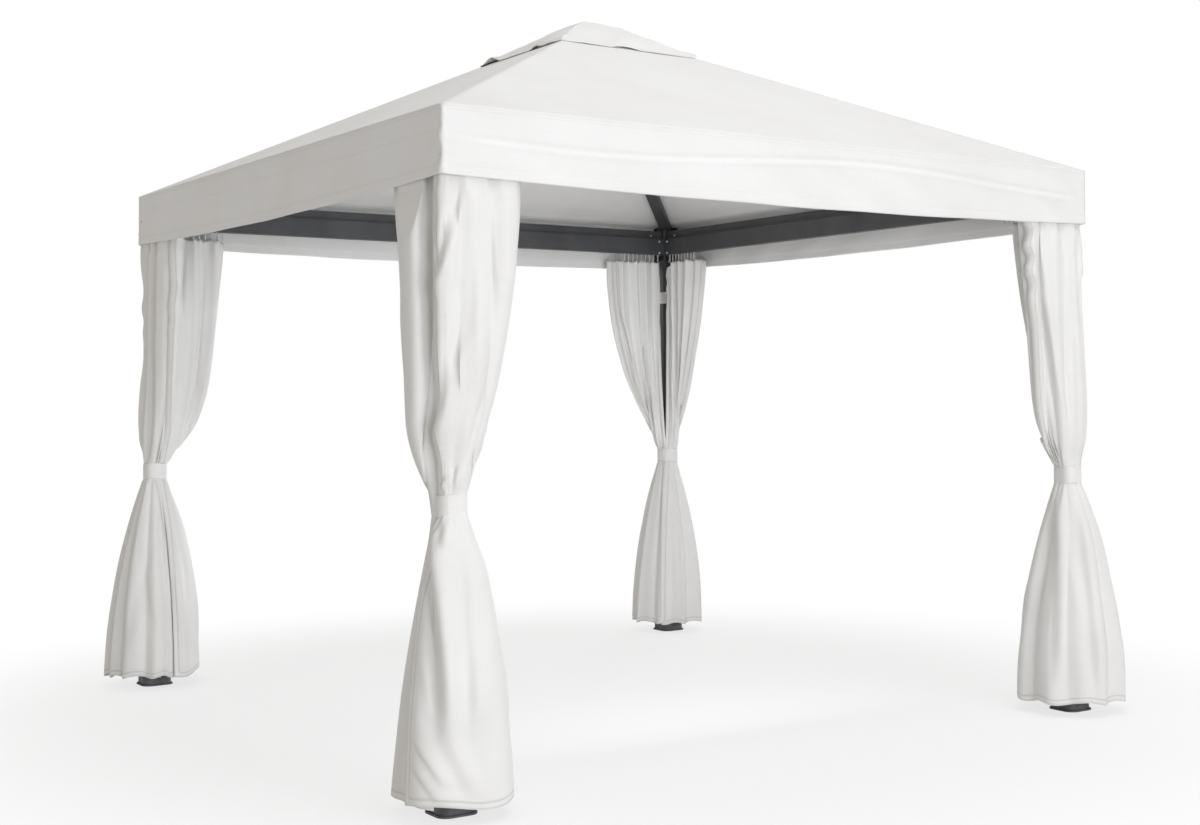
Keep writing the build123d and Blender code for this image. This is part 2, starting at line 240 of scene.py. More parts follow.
def powder_coat(name, dark, light, gloss=0.42):
    """Powder-coated steel: satin, with a fine orange peel (0.8 mm, drawn 3 mm to show)."""
    material, tree, output, place = new_material(name)
    dust = noisy(tree, place, 6.0, 4.0)
    paint = principled(
        tree,
        Base_Color=mixed(tree, ranged(tree, dust, 0.3, 0.7), dark, light),
        Roughness=ranged(tree, dust, 0.0, 1.0, gloss - 0.05, gloss + 0.09),
        IOR=1.5,
        Normal=bumped(tree, noisy(tree, place, 1 / (3 * MM)), 0.12, 0.4 * MM),
    )
    tree.links.new(paint, output.inputs["Surface"])
    return material


def moulded_plastic(name, dark, light):
    """Injection-moulded plastic: spark-eroded grain of 1 mm, drawn 2.5 mm, scuffed paler."""
    material, tree, output, place = new_material(name)
    grain = add(tree, "ShaderNodeTexVoronoi", {"Vector": place, "Scale": 1 / (2.5 * MM)})
    scuff = noisy(tree, place, 14.0, 6.0)
    plastic = principled(
        tree,
        Base_Color=mixed(tree, ranged(tree, scuff, 0.42, 0.72), dark, light),
        Roughness=0.55,
        IOR=1.49,
        Normal=bumped(tree, grain.outputs["Distance"], 0.2, 0.4 * MM),
    )
    tree.links.new(plastic, output.inputs["Surface"])
    return material


def zinc_plated_steel(name):
    """Bright zinc plate on small fastenings: pale grey metal with a faint cloudy passivation."""
    material, tree, output, place = new_material(name)
    cloud = noisy(tree, place, 90.0, 3.0)
    metal = principled(
        tree,
        Base_Color=mixed(tree, cloud, "A9ABAE", "DADBDD"),
        Metallic=1.0,
        Roughness=ranged(tree, cloud, 0.0, 1.0, 0.22, 0.42),
    )
    tree.links.new(metal, output.inputs["Surface"])
    return material


roof_cloth = woven_polyester("woven_polyester_roof", "F3F3F1", "EDECEA", 0.004, 0.08)
valance_cloth = woven_polyester("woven_polyester_valance", "F3F3F1", "EDECEA", 0.006, 0.05)
curtain_cloth = woven_polyester("woven_polyester_curtain", "F9F9F7", "F2F1EE", 0.004, 0.14, True)
band_cloth = woven_polyester("woven_polyester_webbing", "F3F2F0", "E9E8E5", 0.002, 0.03)
thread_white = woven_polyester("polyester_sewing_thread", "E9E6E0", "D5D1CA", 0.0005, 0.0)
frame_paint = powder_coat("powder_coated_steel_anthracite", "414244", "4E4F51")
joint_plastic = moulded_plastic("moulded_polypropylene_black", "252526", "323233")
foot_plastic = moulded_plastic("moulded_polypropylene_grey", "515153", "6E6E70")
runner_nylon = moulded_plastic("moulded_nylon_white", "D6D5D2", "E9E8E6")
zinc = zinc_plated_steel("zinc_plated_steel")


def paint_frame_nodes():
    """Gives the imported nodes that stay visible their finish."""
    finish = {
        "post_": frame_paint,
        "beam_": frame_paint,
        "rafter_": frame_paint,
        "roof_hub": frame_paint,
        "hood_frame": frame_paint,
        "corner_joint_": joint_plastic,
        "foot_": foot_plastic,
        "curtain_runners": runner_nylon,
    }
    for node_name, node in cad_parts.items():
        for start, material in finish.items():
            if node_name.startswith(start) and node_name != "post_straps":
                node.data.materials.clear()
                node.data.materials.append(material)


# Meshes of cloth


def sheet_object(name, points, material, across, along, thickness=0.0, closed=False, seam=None):
    """Grid of quads over rows and columns of points, with a UV map in metres along the cloth.

    The array seam, where given, holds each point's distance to the nearest hemmed edge."""
    rows, columns = points.shape[:2]
    mesh = bpy.data.meshes.new(name)
    index = np.arange(rows * columns).reshape(rows, columns)
    if closed:
        index = np.hstack([index, index[:, :1]])
        across = np.hstack([across, across[:, -1:] + (across[:, 1:2] - across[:, :1])])
        along = np.hstack([along, along[:, :1]])
    quads = np.stack([index[:-1, :-1], index[:-1, 1:], index[1:, 1:], index[1:, :-1]], axis=-1)
    quads = quads.reshape(-1, 4)
    mesh.from_pydata(points.reshape(-1, 3).tolist(), [], quads.tolist())
    uv = mesh.uv_layers.new(name="cloth")
    grid = np.stack([across, along], axis=-1)
    corner_uv = np.stack([grid[:-1, :-1], grid[:-1, 1:], grid[1:, 1:], grid[1:, :-1]], axis=-2)
    uv.data.foreach_set("uv", corner_uv.reshape(-1).astype(np.float32))
    mesh.polygons.foreach_set("use_smooth", [True] * len(mesh.polygons))
    mesh.materials.append(material)
    if seam is not None:
        held = mesh.attributes.new("seam", "FLOAT", "POINT")
        held.data.foreach_set("value", seam.reshape(-1).astype(np.float32))
    mesh.update()
    piece = linked(name, mesh)
    if thickness:
        solid = piece.modifiers.new("thickness", "SOLIDIFY")
        solid.thickness = thickness
        solid.offset = 0.0
        solid.use_rim = True
        make_plain(piece)
    return piece


def make_plain(piece):
    """Applies every modifier of a piece, so that its mesh is plain."""
    graph = bpy.context.evaluated_depsgraph_get()
    mesh = bpy.data.meshes.new_from_object(piece.evaluated_get(graph))
    mesh.name = piece.name
    piece.modifiers.clear()
    piece.data = mesh


def ripple(x, seed, count, low, high):
    """Sum of random sine terms with rates between low and high, about 1 at most."""
    chance = random.Random(seed)
    terms = [
        (chance.uniform(low, high), chance.uniform(0, 2 * math.pi), chance.uniform(0.5, 1))
        for _ in range(count)
    ]
    total = sum(share * np.sin(2 * np.pi * rate * x + phase) for rate, phase, share in terms)
    return total / sum(share for _, _, share in terms)


def bell(x, middle, width):
    """Bell curve, 1 at its middle."""
    return np.exp(-(((x - middle) / width) ** 2))


def stacked(x, y, z):
    """Points from coordinates that broadcast to one grid."""
    return np.stack(np.broadcast_arrays(x, y, z), axis=-1)


def fractal(seed, a, b, detail=3):
    """Smooth random field over two arrays of coordinates, about -1 to 1."""
    total = np.zeros(np.broadcast(a, b).shape)
    chance = random.Random(seed)
    for octave in range(detail):
        for _ in range(5):
            angle = chance.uniform(0, 2 * math.pi)
            phase = chance.uniform(0, 2 * math.pi)
            rate = 2 ** octave * chance.uniform(0.7, 1.4)
            wave = np.sin(rate * (a * math.cos(angle) + b * math.sin(angle)) + phase)
            total = total + wave / 2 ** octave / 3
    return total


def normals_of(points):
    """Unit normals of a grid of points."""
    across = np.gradient(points, axis=1)
    along = np.gradient(points, axis=0)
    normal = np.cross(across, along)
    return normal / np.maximum(np.linalg.norm(normal, axis=-1, keepdims=True), 1e-9)


def lengths(points, axis):
    """Running length along an axis of a grid of points."""
    steps = np.linalg.norm(np.diff(points, axis=axis), axis=-1)
    pad = [(0, 0), (0, 0)]
    pad[axis] = (1, 0)
    return np.pad(np.cumsum(steps, axis=axis), pad)


def turned(points, degrees):
    """Points turned about the middle of the gazebo."""
    angle = math.radians(degrees)
    x = points[..., 0] * math.cos(angle) - points[..., 1] * math.sin(angle)
    y = points[..., 0] * math.sin(angle) + points[..., 1] * math.cos(angle)
    return stacked(x, y, points[..., 2])


# Pieces that repeat, put in place by Geometry Nodes

STITCHES = []


def sew(line, normal):
    """Notes the places of a row of stitches along a line of points on a cloth."""
    steps = np.linalg.norm(np.diff(line, axis=0), axis=1)
    run = np.concatenate([[0], np.cumsum(steps)])
    at = np.arange(STITCH_PITCH / 2, run[-1], STITCH_PITCH)
    places = np.stack([np.interp(at, run, line[:, k]) for k in range(3)], axis=-1)
    ahead = np.gradient(places, axis=0)
    for place, tangent in zip(places, ahead):
        along = Vector(tangent).normalized()
        up = Vector(normal)
        up = (up - up.dot(along) * along).normalized()
        turn = Matrix((along, up.cross(along), up)).transposed().to_euler()
        STITCHES.append((tuple(place), tuple(turn)))


def skinned(name, rings):
    """Mesh object over a row of rings with as many points each, closed at both ends."""
    sides = len(rings[0])
    faces = []
    for first in range(0, sides * (len(rings) - 1), sides):
        for side in range(sides):
            a, b = first + side, first + (side + 1) % sides
            faces.append((a, b, b + sides, a + sides))
    last = sides * (len(rings) - 1)
    faces.append(tuple(range(last, last + sides)))
    faces.append(tuple(reversed(range(sides))))
    mesh = bpy.data.meshes.new(name)
    mesh.from_pydata([point for ring in rings for point in ring], [], faces)
    mesh.update()
    return linked(name, mesh)


def round_angles(sides):
    """Angles of a ring's points."""
    return [2 * math.pi * side / sides for side in range(sides)]


def turned_body(name, profile, sides):
    """Mesh object turned round Z from a profile of radius and height."""
    return skinned(name, [
        [(radius * math.cos(angle), radius * math.sin(angle), height)
         for angle in round_angles(sides)]
        for radius, height in profile
    ])


def wire(name, path, radius, sides=8):
    """Mesh object of a round wire along a path in the XZ plane."""
    line = rounded(path, 6)
    ahead = np.gradient(line, axis=0)
    ahead = ahead / np.linalg.norm(ahead, axis=1, keepdims=True)
    return skinned(name, [
        [(x - az * radius * math.cos(angle), radius * math.sin(angle),
          z + ax * radius * math.cos(angle)) for angle in round_angles(sides)]
        for (x, z), (ax, az) in zip(line, ahead)
    ])


def repeat_tree():
    """Node tree that sets a small mesh on each point of a mesh, turned by its 'turn'."""
    tree = bpy.data.node_groups.new("repeat_on_points", "GeometryNodeTree")
    sockets = {
        "Places": "NodeSocketGeometry",
        "Piece": "NodeSocketObject",
        "Size": "NodeSocketFloat",
        "Size variation": "NodeSocketFloat",
        "Seed": "NodeSocketInt",
        "Finish": "NodeSocketMaterial",
    }
    for label, kind in sockets.items():
        tree.interface.new_socket(label, in_out="INPUT", socket_type=kind)
    tree.interface.new_socket("Geometry", in_out="OUTPUT", socket_type="NodeSocketGeometry")
    given = tree.nodes.new("NodeGroupInput").outputs
    piece = add(tree, "GeometryNodeObjectInfo", {"Object": given["Piece"], "As Instance": True})
    turn = add(tree, "GeometryNodeInputNamedAttribute", {"Name": "turn"}, data_type="FLOAT_VECTOR")
    rotation = add(tree, "FunctionNodeEulerToRotation", {0: turn.outputs["Attribute"]})
    least = maths(tree, "SUBTRACT", given["Size"], given["Size variation"])
    most = maths(tree, "ADD", given["Size"], given["Size variation"])
    limits = {"Min": least, "Max": most, "Seed": given["Seed"]}
    size = add(tree, "FunctionNodeRandomValue", limits, data_type="FLOAT")
    placed = add(
        tree,
        "GeometryNodeInstanceOnPoints",
        {
            "Points": given["Places"],
            "Instance": piece.outputs["Geometry"],
            "Rotation": rotation.outputs[0],
            "Scale": size.outputs["Value"],
        },
    )
    real = add(tree, "GeometryNodeRealizeInstances", {"Geometry": placed.outputs[0]})
    finished = add(
        tree, "GeometryNodeSetMaterial", {"Geometry": real.outputs[0], "Material": given["Finish"]}
    )
    result = tree.nodes.new("NodeGroupOutput")
    tree.links.new(finished.outputs[0], result.inputs[0])
    return tree


def repeated(name, piece, spots, finish, variation=0.0):
    """Plain mesh object of a small piece repeated at places with turns."""
    mesh = bpy.data.meshes.new(name)
    mesh.from_pydata([place for place, _ in spots], [], [])
    turn = mesh.attributes.new("turn", "FLOAT_VECTOR", "POINT")
    turns = np.array([turn for _, turn in spots], dtype=np.float32)
    turn.data.foreach_set("vector", turns.reshape(-1))
    whole = linked(name, mesh)
    modifier = whole.modifiers.new("repeat", "NODES")
    modifier.node_group = tree = repeat_tree()
    values = {"Piece": piece, "Size": 1.0, "Size variation": variation, "Seed": 7, "Finish": finish}
    for item in tree.interface.items_tree:
        if item.in_out == "INPUT" and item.name in values:
            modifier[item.identifier] = values[item.name]
    make_plain(whole)
    bpy.data.objects.remove(piece)
    whole.data.polygons.foreach_set("use_smooth", [True] * len(whole.data.polygons))
    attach(whole, BODY)


def make_stitches():
    """Thread of the seams in the roof, the hood and the valance."""
    profile = [(0.00012, -0.0024), (0.00045, -0.0015), (0.00045, 0.0015), (0.00012, 0.0024)]
    stitch = turned_body("one_stitch", profile, 4)
    stitch.data.transform(Matrix.Rotation(math.pi / 2, 4, "Y"))
    repeated("sewing_stitches", stitch, STITCHES, thread_white, 0.12)


def make_bolts():
    """Zinc plated button heads that hold each end of a beam to its corner joint."""
    profile = [
        (0.0065, -0.0002), (0.0065, 0.0008), (0.0052, 0.0010), (0.0052, 0.0024), (0.0044, 0.0036),
        (0.0028, 0.0041), (0.0024, 0.0041), (0.0022, 0.0022), (0.0004, 0.0020),
    ]
    head = turned_body("one_bolt", profile, 20)
    # Each bolt: from the beam's end, up from the beam's lower edge, and back from its face
    bolts = ((0.030, 0.074, 0), (0.030, 0.011, 0), (0.072, 0.104, 0.022))
    lying = Matrix.Rotation(-math.pi / 2, 3, "X")
    spots = []
    for degrees in SIDES.values():
        turn = tuple((Matrix.Rotation(math.radians(degrees), 3, "Z") @ lying).to_euler())
        for end in (-1, 1):
            for inset, height, back in bolts:
                place = (end * (BEAM_INNER - inset), -BEAM_INNER - back, BEAM_LOW + height)
                spots.append((tuple(turned(np.array(place), degrees)), turn))
    repeated("beam_bolts", head, spots, zinc)


def make_hooks():
    """Bent steel wires that hang from the runners and hold the headings of the curtains."""
    path = [
        (0, 0.006), (0, -0.004), (0.004, -0.010), (-0.004, -0.018), (0.004, -0.026),
        (0.006, -0.036), (0.002, -0.044), (-0.005, -0.041), (-0.005, -0.034),
    ]
    hook = wire("one_hook", path, 0.0011)
    spots = []
    for key, own in LOOKS.items():
        corner, side = key.split("_on_")
        count = int((own["reach"] - FIRST_HOOK + 3 * MM) / HOOK_STEP) + 1
        x = FIRST_HOOK + HOOK_STEP * np.arange(count)
        line = stacked(x, TRACK_INSET, BEAM_LOW)
        line = place_curtain(line, corner, side in ("front", "back"))
        chance = random.Random(count)
        for place in line:
            spots.append((tuple(place), (0, 0, chance.uniform(0, 6.28))))
    repeated("curtain_hooks", hook, spots, zinc, 0.04)


# Roof, valance and vent hood


def roof_gore(side, degrees):
    """One gore, from the vent hole down to the eave and round it into the valance seam."""
    down, across = shares(70, 150, -1)
    reach = HOLE_HALF + (ROOF_HALF - HOLE_HALF) * down
    x = reach * across
    slack = 4 * down * (1 - down) * (1 - across ** 4)
    dents = 1.5 * MM * fractal(degrees, x * 5, reach * 5) * (1 - np.abs(across) ** 6) * slack
    z = EAVE + ROOF_SLOPE * (ROOF_HALF - reach) - 6 * MM * slack + dents
    turn = np.linspace(0, 1, 6)[1:, None]
    lip = stacked(ROOF_HALF * across, -ROOF_HALF, EAVE - 6 * MM * turn)
    points = turned(np.concatenate([stacked(x, -reach, z), lip], axis=0), degrees)
    return sheet_object(
        f"gore_{side}", points, roof_cloth, lengths(points, 1) - ROOF_HALF, lengths(points, 0)
    )


def make_roof():
    """Four gores sewn into one roof."""
    gores = [roof_gore(side, degrees) for side, degrees in SIDES.items()]
    end_gap = 10 * MM
    reach = np.linspace(HOLE_HALF + end_gap, ROOF_HALF - end_gap, 60)
    height = EAVE + ROOF_SLOPE * (ROOF_HALF - reach) + 0.6 * MM
    slant = math.hypot(1, ROOF_SLOPE)
    slope_normal = np.array([0.0, -ROOF_SLOPE, 1.0]) / slant
    for degrees in SIDES.values():
        for end in (-1, 1):
            line = stacked(end * (reach - end_gap), -reach, height)
            sew(turned(line, degrees), turned(slope_normal, degrees))
    work = bmesh.new()
    for gore in gores:
        work.from_mesh(gore.data)
        bpy.data.objects.remove(gore)
    bmesh.ops.remove_doubles(work, verts=work.verts, dist=0.4 * MM)
    bmesh.ops.recalc_face_normals(work, faces=work.faces)
    mesh = bpy.data.meshes.new("roof_cloth")
    work.to_mesh(mesh)
    work.free()
    mesh.materials.append(roof_cloth)
    mesh.polygons.foreach_set("use_smooth", [True] * len(mesh.polygons))
    roof = linked("roof_cloth", mesh)
    hard = roof.modifiers.new("thickness", "SOLIDIFY")
    hard.thickness = 1.6 * MM
    hard.offset = -1
    make_plain(roof)
    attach(roof, BODY)
    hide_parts(*[f"roof_panel_{side}" for side in SIDES])


def valance_wrinkles(side, x, drop):
    """How far the cloth of one valance stands in or out, by place along it and depth."""
    hang = smooth(drop, 0.0, 0.13)
    ends = 1 - smooth(np.abs(x), 1.3, 1.5)
    if side in ("left", "back"):
        fine = ripple(x + 0.15 * drop, 31, 9, 5, 14) * (0.6 + 0.7 * ripple(x, 32, 4, 0.3, 1.2))
        broad = ripple(x + 0.4 * drop, 33, 6, 0.8, 2.5)
        level = drop - 0.07 - 0.014 * ripple(x, 34, 3, 0.3, 1)
        crease = 0.5 * bell(level, 0.010, 0.006) - bell(level, 0, 0.005)
        out = 3 * MM * fine * smooth(drop, 0.02, 0.09) + 4 * MM * broad
        pull = 4 * MM * bell(np.abs(x), 1.5, 0.05) * np.sin(60 * drop + 14 * x)
        return (out * hang + 2.6 * MM * crease * ends) * (0.3 + 0.7 * ends) + pull * hang
    broad = ripple(x + 0.8 * drop, 41, 7, 0.5, 1.6)
    slant = ripple(x - 2.2 * drop, 42, 6, 1.0, 3.2)
    level = drop - 0.085 - 0.035 * ripple(x, 43, 3, 0.2, 0.7)
    crease = 0.6 * bell(level, 0.016, 0.010) - bell(level, 0, 0.009)
    out = (5 * MM * broad + 4.5 * MM * slant) * hang * (0.3 + 0.7 * ends)
    pull = 4 * MM * bell(x, 1.28, 0.12) * np.sin(40 * drop - 16 * x)
    return out + 3.4 * MM * crease * ends + pull * hang


def make_valance():
    """Strip of cloth round all four eaves, with a hem along its slack lower edge."""
    down, across = shares(40, 300, -1)
    x = across * ROOF_HALF
    seam_height = EAVE - 4 * MM
    bow = 21 * MM
    sewn_rows = [int(share * (len(down) - 1)) for share in (0.055, 0.862)]
    walls = []
    for side, degrees in SIDES.items():
        low = VALANCE_LOW + bow * across ** 2 + 2 * MM * ripple(x, degrees + 5, 5, 0.6, 2)
        z = seam_height + (low - seam_height) * down
        drop = seam_height - z
        hem = 1.2 * MM * smooth(down, 0.865, 0.88) + 0.9 * MM * bell(down, 0.87, 0.012)
        edge = 1 - smooth(np.abs(x), ROOF_HALF - 12 * MM, ROOF_HALF)
        corner = bell(np.abs(x), ROOF_HALF, 18 * MM) * smooth(drop, 0.0, 0.03)
        gather = 2 * MM * corner * (1 + np.sin(150 * drop + 2.0 * np.sin(40 * drop + degrees)))
        y = 1 * MM - ROOF_HALF - (valance_wrinkles(side, x, drop) + gather) * edge - hem
        for row in sewn_rows:
            line = stacked(x[0], y[row] - 1.1 * MM, z[row])[2:-2]
            sew(turned(line, degrees), turned(np.array([0.0, -1.0, 0.0]), degrees))
        walls.append(turned(stacked(x, y, z), degrees)[:, :-1])
    points = np.concatenate(walls, axis=1)
    across, down = lengths(points, 1), lengths(points, 0)
    valance = sheet_object(
        "valance_cloth", points, valance_cloth, across, down, 1.4 * MM, closed=True
    )
    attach(valance, BODY)
    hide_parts(*[f"valance_{side}" for side in SIDES])


def make_hood():
    """Vent hood: four slack sides over the arms of its frame, settled on the roof below."""
    down, across = shares(56, 90, -1)
    crown, hem = 45 * MM, 20 * MM
    reach = crown + (HOOD_HALF - crown) * down
    x = reach * across
    slack = down * (1 - across ** 2)
    settle = -(HOOD_EDGE - ROOF_AT_HOOD - 2 * MM) * down ** 2
    full = 12 * MM * smooth(down, 0.0, 0.2) * (1 - down) * (1 - 0.5 * across ** 2)
    on_roof = EAVE + ROOF_SLOPE * (ROOF_HALF - reach) + 2.4 * MM
    walls = []
    for side, degrees in SIDES.items():
        flutter = ripple(x, degrees + 61, 4, 1.5, 4.5)
        loose = 1.0 if side in ("left", "back") else 0.45
        lift = 18 * MM * loose * slack * down ** 2 * flutter
        crumple = 7.5 * MM * fractal(degrees + 3, 13 * x, 16 * reach) * smooth(down, 0.05, 0.35)
        crease = 6 * MM * ripple(x + 0.5 * reach, degrees + 65, 6, 3, 9) * smooth(down, 0.4, 0.95)
        z = HOOD_TOP - (HOOD_TOP - HOOD_EDGE) * down + settle + lift + full + crumple + crease
        if side == "left":
            z = z + 20 * MM * bell(across, -0.72, 0.16) * down ** 6
        z = np.where(reach > HOLE_HALF - hem, np.maximum(z, on_roof), z)
        y = 4 * MM * flutter * slack * down - reach
        walls.append(turned(stacked(x, y, z), degrees)[:, :-1])
    ring = np.concatenate(walls, axis=1)
    centre = ring[0].mean(axis=0)
    caps = [centre + (ring[0] - centre) * share + np.array([0, 0, 0.5 * MM * (1 - share)])
            for share in (0.02, 0.35, 0.7)]
    points = np.concatenate([np.stack(caps), ring], axis=0)
    hood = sheet_object(
        "vent_hood_cloth", points, roof_cloth, lengths(points, 1), lengths(points, 0), 1.6 * MM,
        closed=True,
    )
    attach(hood, BODY)
    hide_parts("vent_hood")
    for wall, degrees in zip(np.split(ring[-3], 4), SIDES.values()):
        normal = turned(np.array([0.0, -0.35, 0.94]), degrees)
        sew(wall[1:] + 1.2 * MM * normal, normal)


# Curtains


def along_line(points, shares):
    """Places at given shares of the length of a line of points."""
    steps = np.linalg.norm(np.diff(points, axis=0), axis=1)
    run = np.concatenate([[0], np.cumsum(steps)])
    target = np.clip(shares, 0, 1) * run[-1]
    return np.stack([np.interp(target, run, points[:, k]) for k in range(2)], axis=-1)


def rounded(points, steps=40):
    """Dense curve with soft corners through the middle of a line's runs."""
    corners = np.asarray(points, dtype=float)
    middle = (corners[:-1] + corners[1:]) / 2
    dense = [corners[0]]
    for index in range(1, len(corners) - 1):
        start, corner, end = middle[index - 1], corners[index], middle[index]
        for step in range(steps + 1):
            t = step / steps
            dense.append((1 - t) ** 2 * start + 2 * t * (1 - t) * corner + t * t * end)
    dense.append(corners[-1])
    return np.array(dense)


def square_reach(angle, squareness):
    """Distance to a rounded square of half side 1, by direction."""
    parts = np.abs(np.cos(angle)) ** squareness + np.abs(np.sin(angle)) ** squareness
    return parts ** (-1 / squareness)


def ring_line(radius, squareness, start, end):
    """Rounded square line round the post between two directions, in degrees."""
    angle = np.radians(np.linspace(start, end, 500))
    reach = radius * square_reach(angle, squareness)
    return np.stack([reach * np.cos(angle), reach * np.sin(angle)], axis=-1)


def two_layers(u, front, line_a, line_b):
    """Places of a row's columns: out along the layer in view, then back behind it."""
    going = along_line(line_a, np.clip(u / front, 0, 1))
    coming = along_line(line_b, np.clip((u - front) / (1 - front), 0, 1))
    return np.where((u <= front)[:, None], going, coming)


def ring_layers(u, front, angles, outer, inner, squareness):
    """The same row where it goes round the post: both layers are rings."""
    start, end = angles
    line_a = ring_line(outer, squareness, start, end)
    line_b = ring_line(inner, squareness, end, end + 0.6 * (start - end))
    return two_layers(u, front, line_a, line_b)


def clear_of(plan, half):
    """Plan points moved out of the square of the post."""
    reach = np.abs(plan).max(axis=-1, keepdims=True)
    return plan * np.maximum(1, half / np.maximum(reach, 1e-6))


def softened(rows_of_points, times):
    """Rows of points with the turns between their layers rounded off."""
    for _ in range(times):
        inside = (rows_of_points[:, :-2] + 2 * rows_of_points[:, 1:-1] + rows_of_points[:, 2:]) / 4
        parts = [rows_of_points[:, :1], inside, rows_of_points[:, -1:]]
        rows_of_points = np.concatenate(parts, axis=1)
    return rows_of_points


def strokes(seed, count, own):
    """Long creases in the cloth: ends as width from the edge and height, then width and depth."""
    chance = random.Random(seed)
    lines = list(own)
    for _ in range(count):
        x = chance.uniform(0.04, 0.5)
        z = chance.choice([chance.uniform(1.15, 1.95), chance.uniform(0.15, 0.8)])
        lean = chance.uniform(-0.10, 0.10)
        tall = chance.uniform(0.15, 0.4)
        width, depth = chance.uniform(0.012, 0.03), chance.uniform(0.004, 0.009)
        lines.append((x, z, x + lean, z - tall, width, depth))
    return lines


def creased(x, z, lines):
    """Depth of a set of creases over the cloth: a soft valley with a low ridge beside it."""
    total = np.zeros(np.broadcast(x, z).shape)
    for x0, z0, x1, z1, width, depth in lines:
        dx, dz = x1 - x0, z1 - z0
        span = dx * dx + dz * dz
        t = ((x - x0) * dx + (z - z0) * dz) / span
        inside = smooth(t, -0.25, 0.25) * (1 - smooth(t, 0.75, 1.25))
        side = ((x - x0) * dz - (z - z0) * dx) / math.sqrt(span) / width
        total = total + depth * inside * (0.7 * bell(side, 1.6, 1) - bell(side, 0, 1))
    return total


def tucked(sideways, z, lines):
    """Depth of folds that stand out steeply on one side and fall back slowly on the other.

    Each is given by its place as seen from the front left: sideways from the post and height at
    both ends, then the width of its steep side (below 0 where that faces right), its depth and
    the reach of its slow side."""
    total = np.zeros(np.broadcast(sideways, z).shape)
    for h0, z0, h1, z1, width, depth, reach in lines:
        t = (z0 - z) / (z0 - z1)
        inside = smooth(t, -0.2, 0.2) * (1 - smooth(t, 0.8, 1.2))
        s = (sideways - h0 - (h1 - h0) * np.clip(t, -0.2, 1.2)) / width
        rise = np.exp(-np.maximum(s, 0) * abs(width) / reach) / (1 + np.exp(-3 * np.clip(s, -9, 9)))
        total = total + depth * inside * (rise - 0.25 * bell(s, -1.5, 1.2))
    return total


def curtain_plan(look, u, upper, lower, open_up, open_low):
    """Each level row of a curtain in plan before it is folded, round a post at the origin."""
    front, outside, reach, wrap = (look[key] for key in ("front", "outside", "reach", "wrap"))
    if look["calm"] == "outer":
        start, end = -135.0 - wrap, 45.0
        line_a = [(-outside, wrap * 1.8 * MM - outside), (-outside, -outside), (0.05, -outside),
                  (reach - 0.02, -0.040), (reach, -0.028)]
        line_b = [(reach, -0.005), (reach - 0.02, 0.028), (0.09, 0.030), (0.060, 0.026)]
    else:
        start, end = 48.0, -132.0
        begins = look["begins"]
        line_a = [(begins, 0.052), (begins + 0.02, 0.052), (reach - 0.02, 0.050), (reach, 0.040)]
        line_b = [(reach, 0.018), (reach - 0.02, -0.016), (0.09, -0.018), (0.062, -0.016)]
    start, end = start + look["turn"], end + look["turn"]
    waist, squareness = look["waist"], 3.2
    top = two_layers(u, front, rounded(line_a), rounded(line_b))
    ring = ring_layers(u, front, (start, end), waist, waist - LAYER_GAP, squareness)
    base = ring + open_up[:, None, None] * (top - ring)
    hem_wrap = look["hem_wrap"] * (1 - open_low) * smooth(lower, 0.0, 0.15)
    for row in np.flatnonzero(lower > 0):
        opened = open_low[row]
        outer = waist + opened * (look["skirt"] - waist)
        inner = waist - LAYER_GAP + opened * (look["skirt_behind"] - waist + LAYER_GAP)
        angles = (start - hem_wrap[row], end)
        base[row] = ring_layers(u, front, angles, outer, inner, squareness - 0.9 * opened)
    base = clear_of(softened(base, 5), POST_HALF + 3 * MM)
    puff = look["puff"] * bell(upper, 0.2, 0.2) * (upper > 0) * smooth(upper, 0, 0.12)
    far = np.maximum(np.linalg.norm(base, axis=-1, keepdims=True), 0.03)
    return base * (1 + puff[:, None, None] / far)


def curtain_push(look, view, points, u, z, upper, lower, free):
    """How far what is smaller than a fold moves each point of a curtain off its surface."""
    seed, front = look["seed"], look["front"]
    across = lengths(points, 1).mean(axis=0) * 1.25
    near_up = np.exp(-upper / 0.09) * smooth(upper, 0.0, 0.02)
    near_low = np.exp(-lower / 0.11) * smooth(lower, 0.0, 0.02)
    pucker = 6.5 * MM * ripple(u, seed + 6, 7, 12, 30) * (near_up + near_low)[:, None]
    crumple = 3.5 * MM * fractal(seed + 7, 11 * across, 4.0 * z) * free
    under_track = np.exp(-(1 - upper) / 0.06) * (upper > 0)
    gather = 4.5 * MM * ripple(u, seed + 8, 6, 10, 26) * under_track[:, None]
    flutter = np.sin(38 * z + 2.5 * np.sin(9 * z + seed)) * smooth(upper, 0.45, 0.85)[:, None]
    edges = np.exp(-u / 0.012) + look["open_ruffle"] * bell(u, front, 0.018)
    seen = 1 - smooth(u, front - 0.05, front)
    sideways = view[0] * points[..., 0] + view[1] * points[..., 1]
    outward = -1 if look["calm"] == "outer" else 1
    tucks = outward * seen * tucked(sideways, z, look["tucks"])
    creases = creased(across, z, strokes(seed + 9, look["creases"], look["own_creases"]))
    return pucker + crumple + gather + look["ruffle"] * flutter * edges + tucks + creases * free


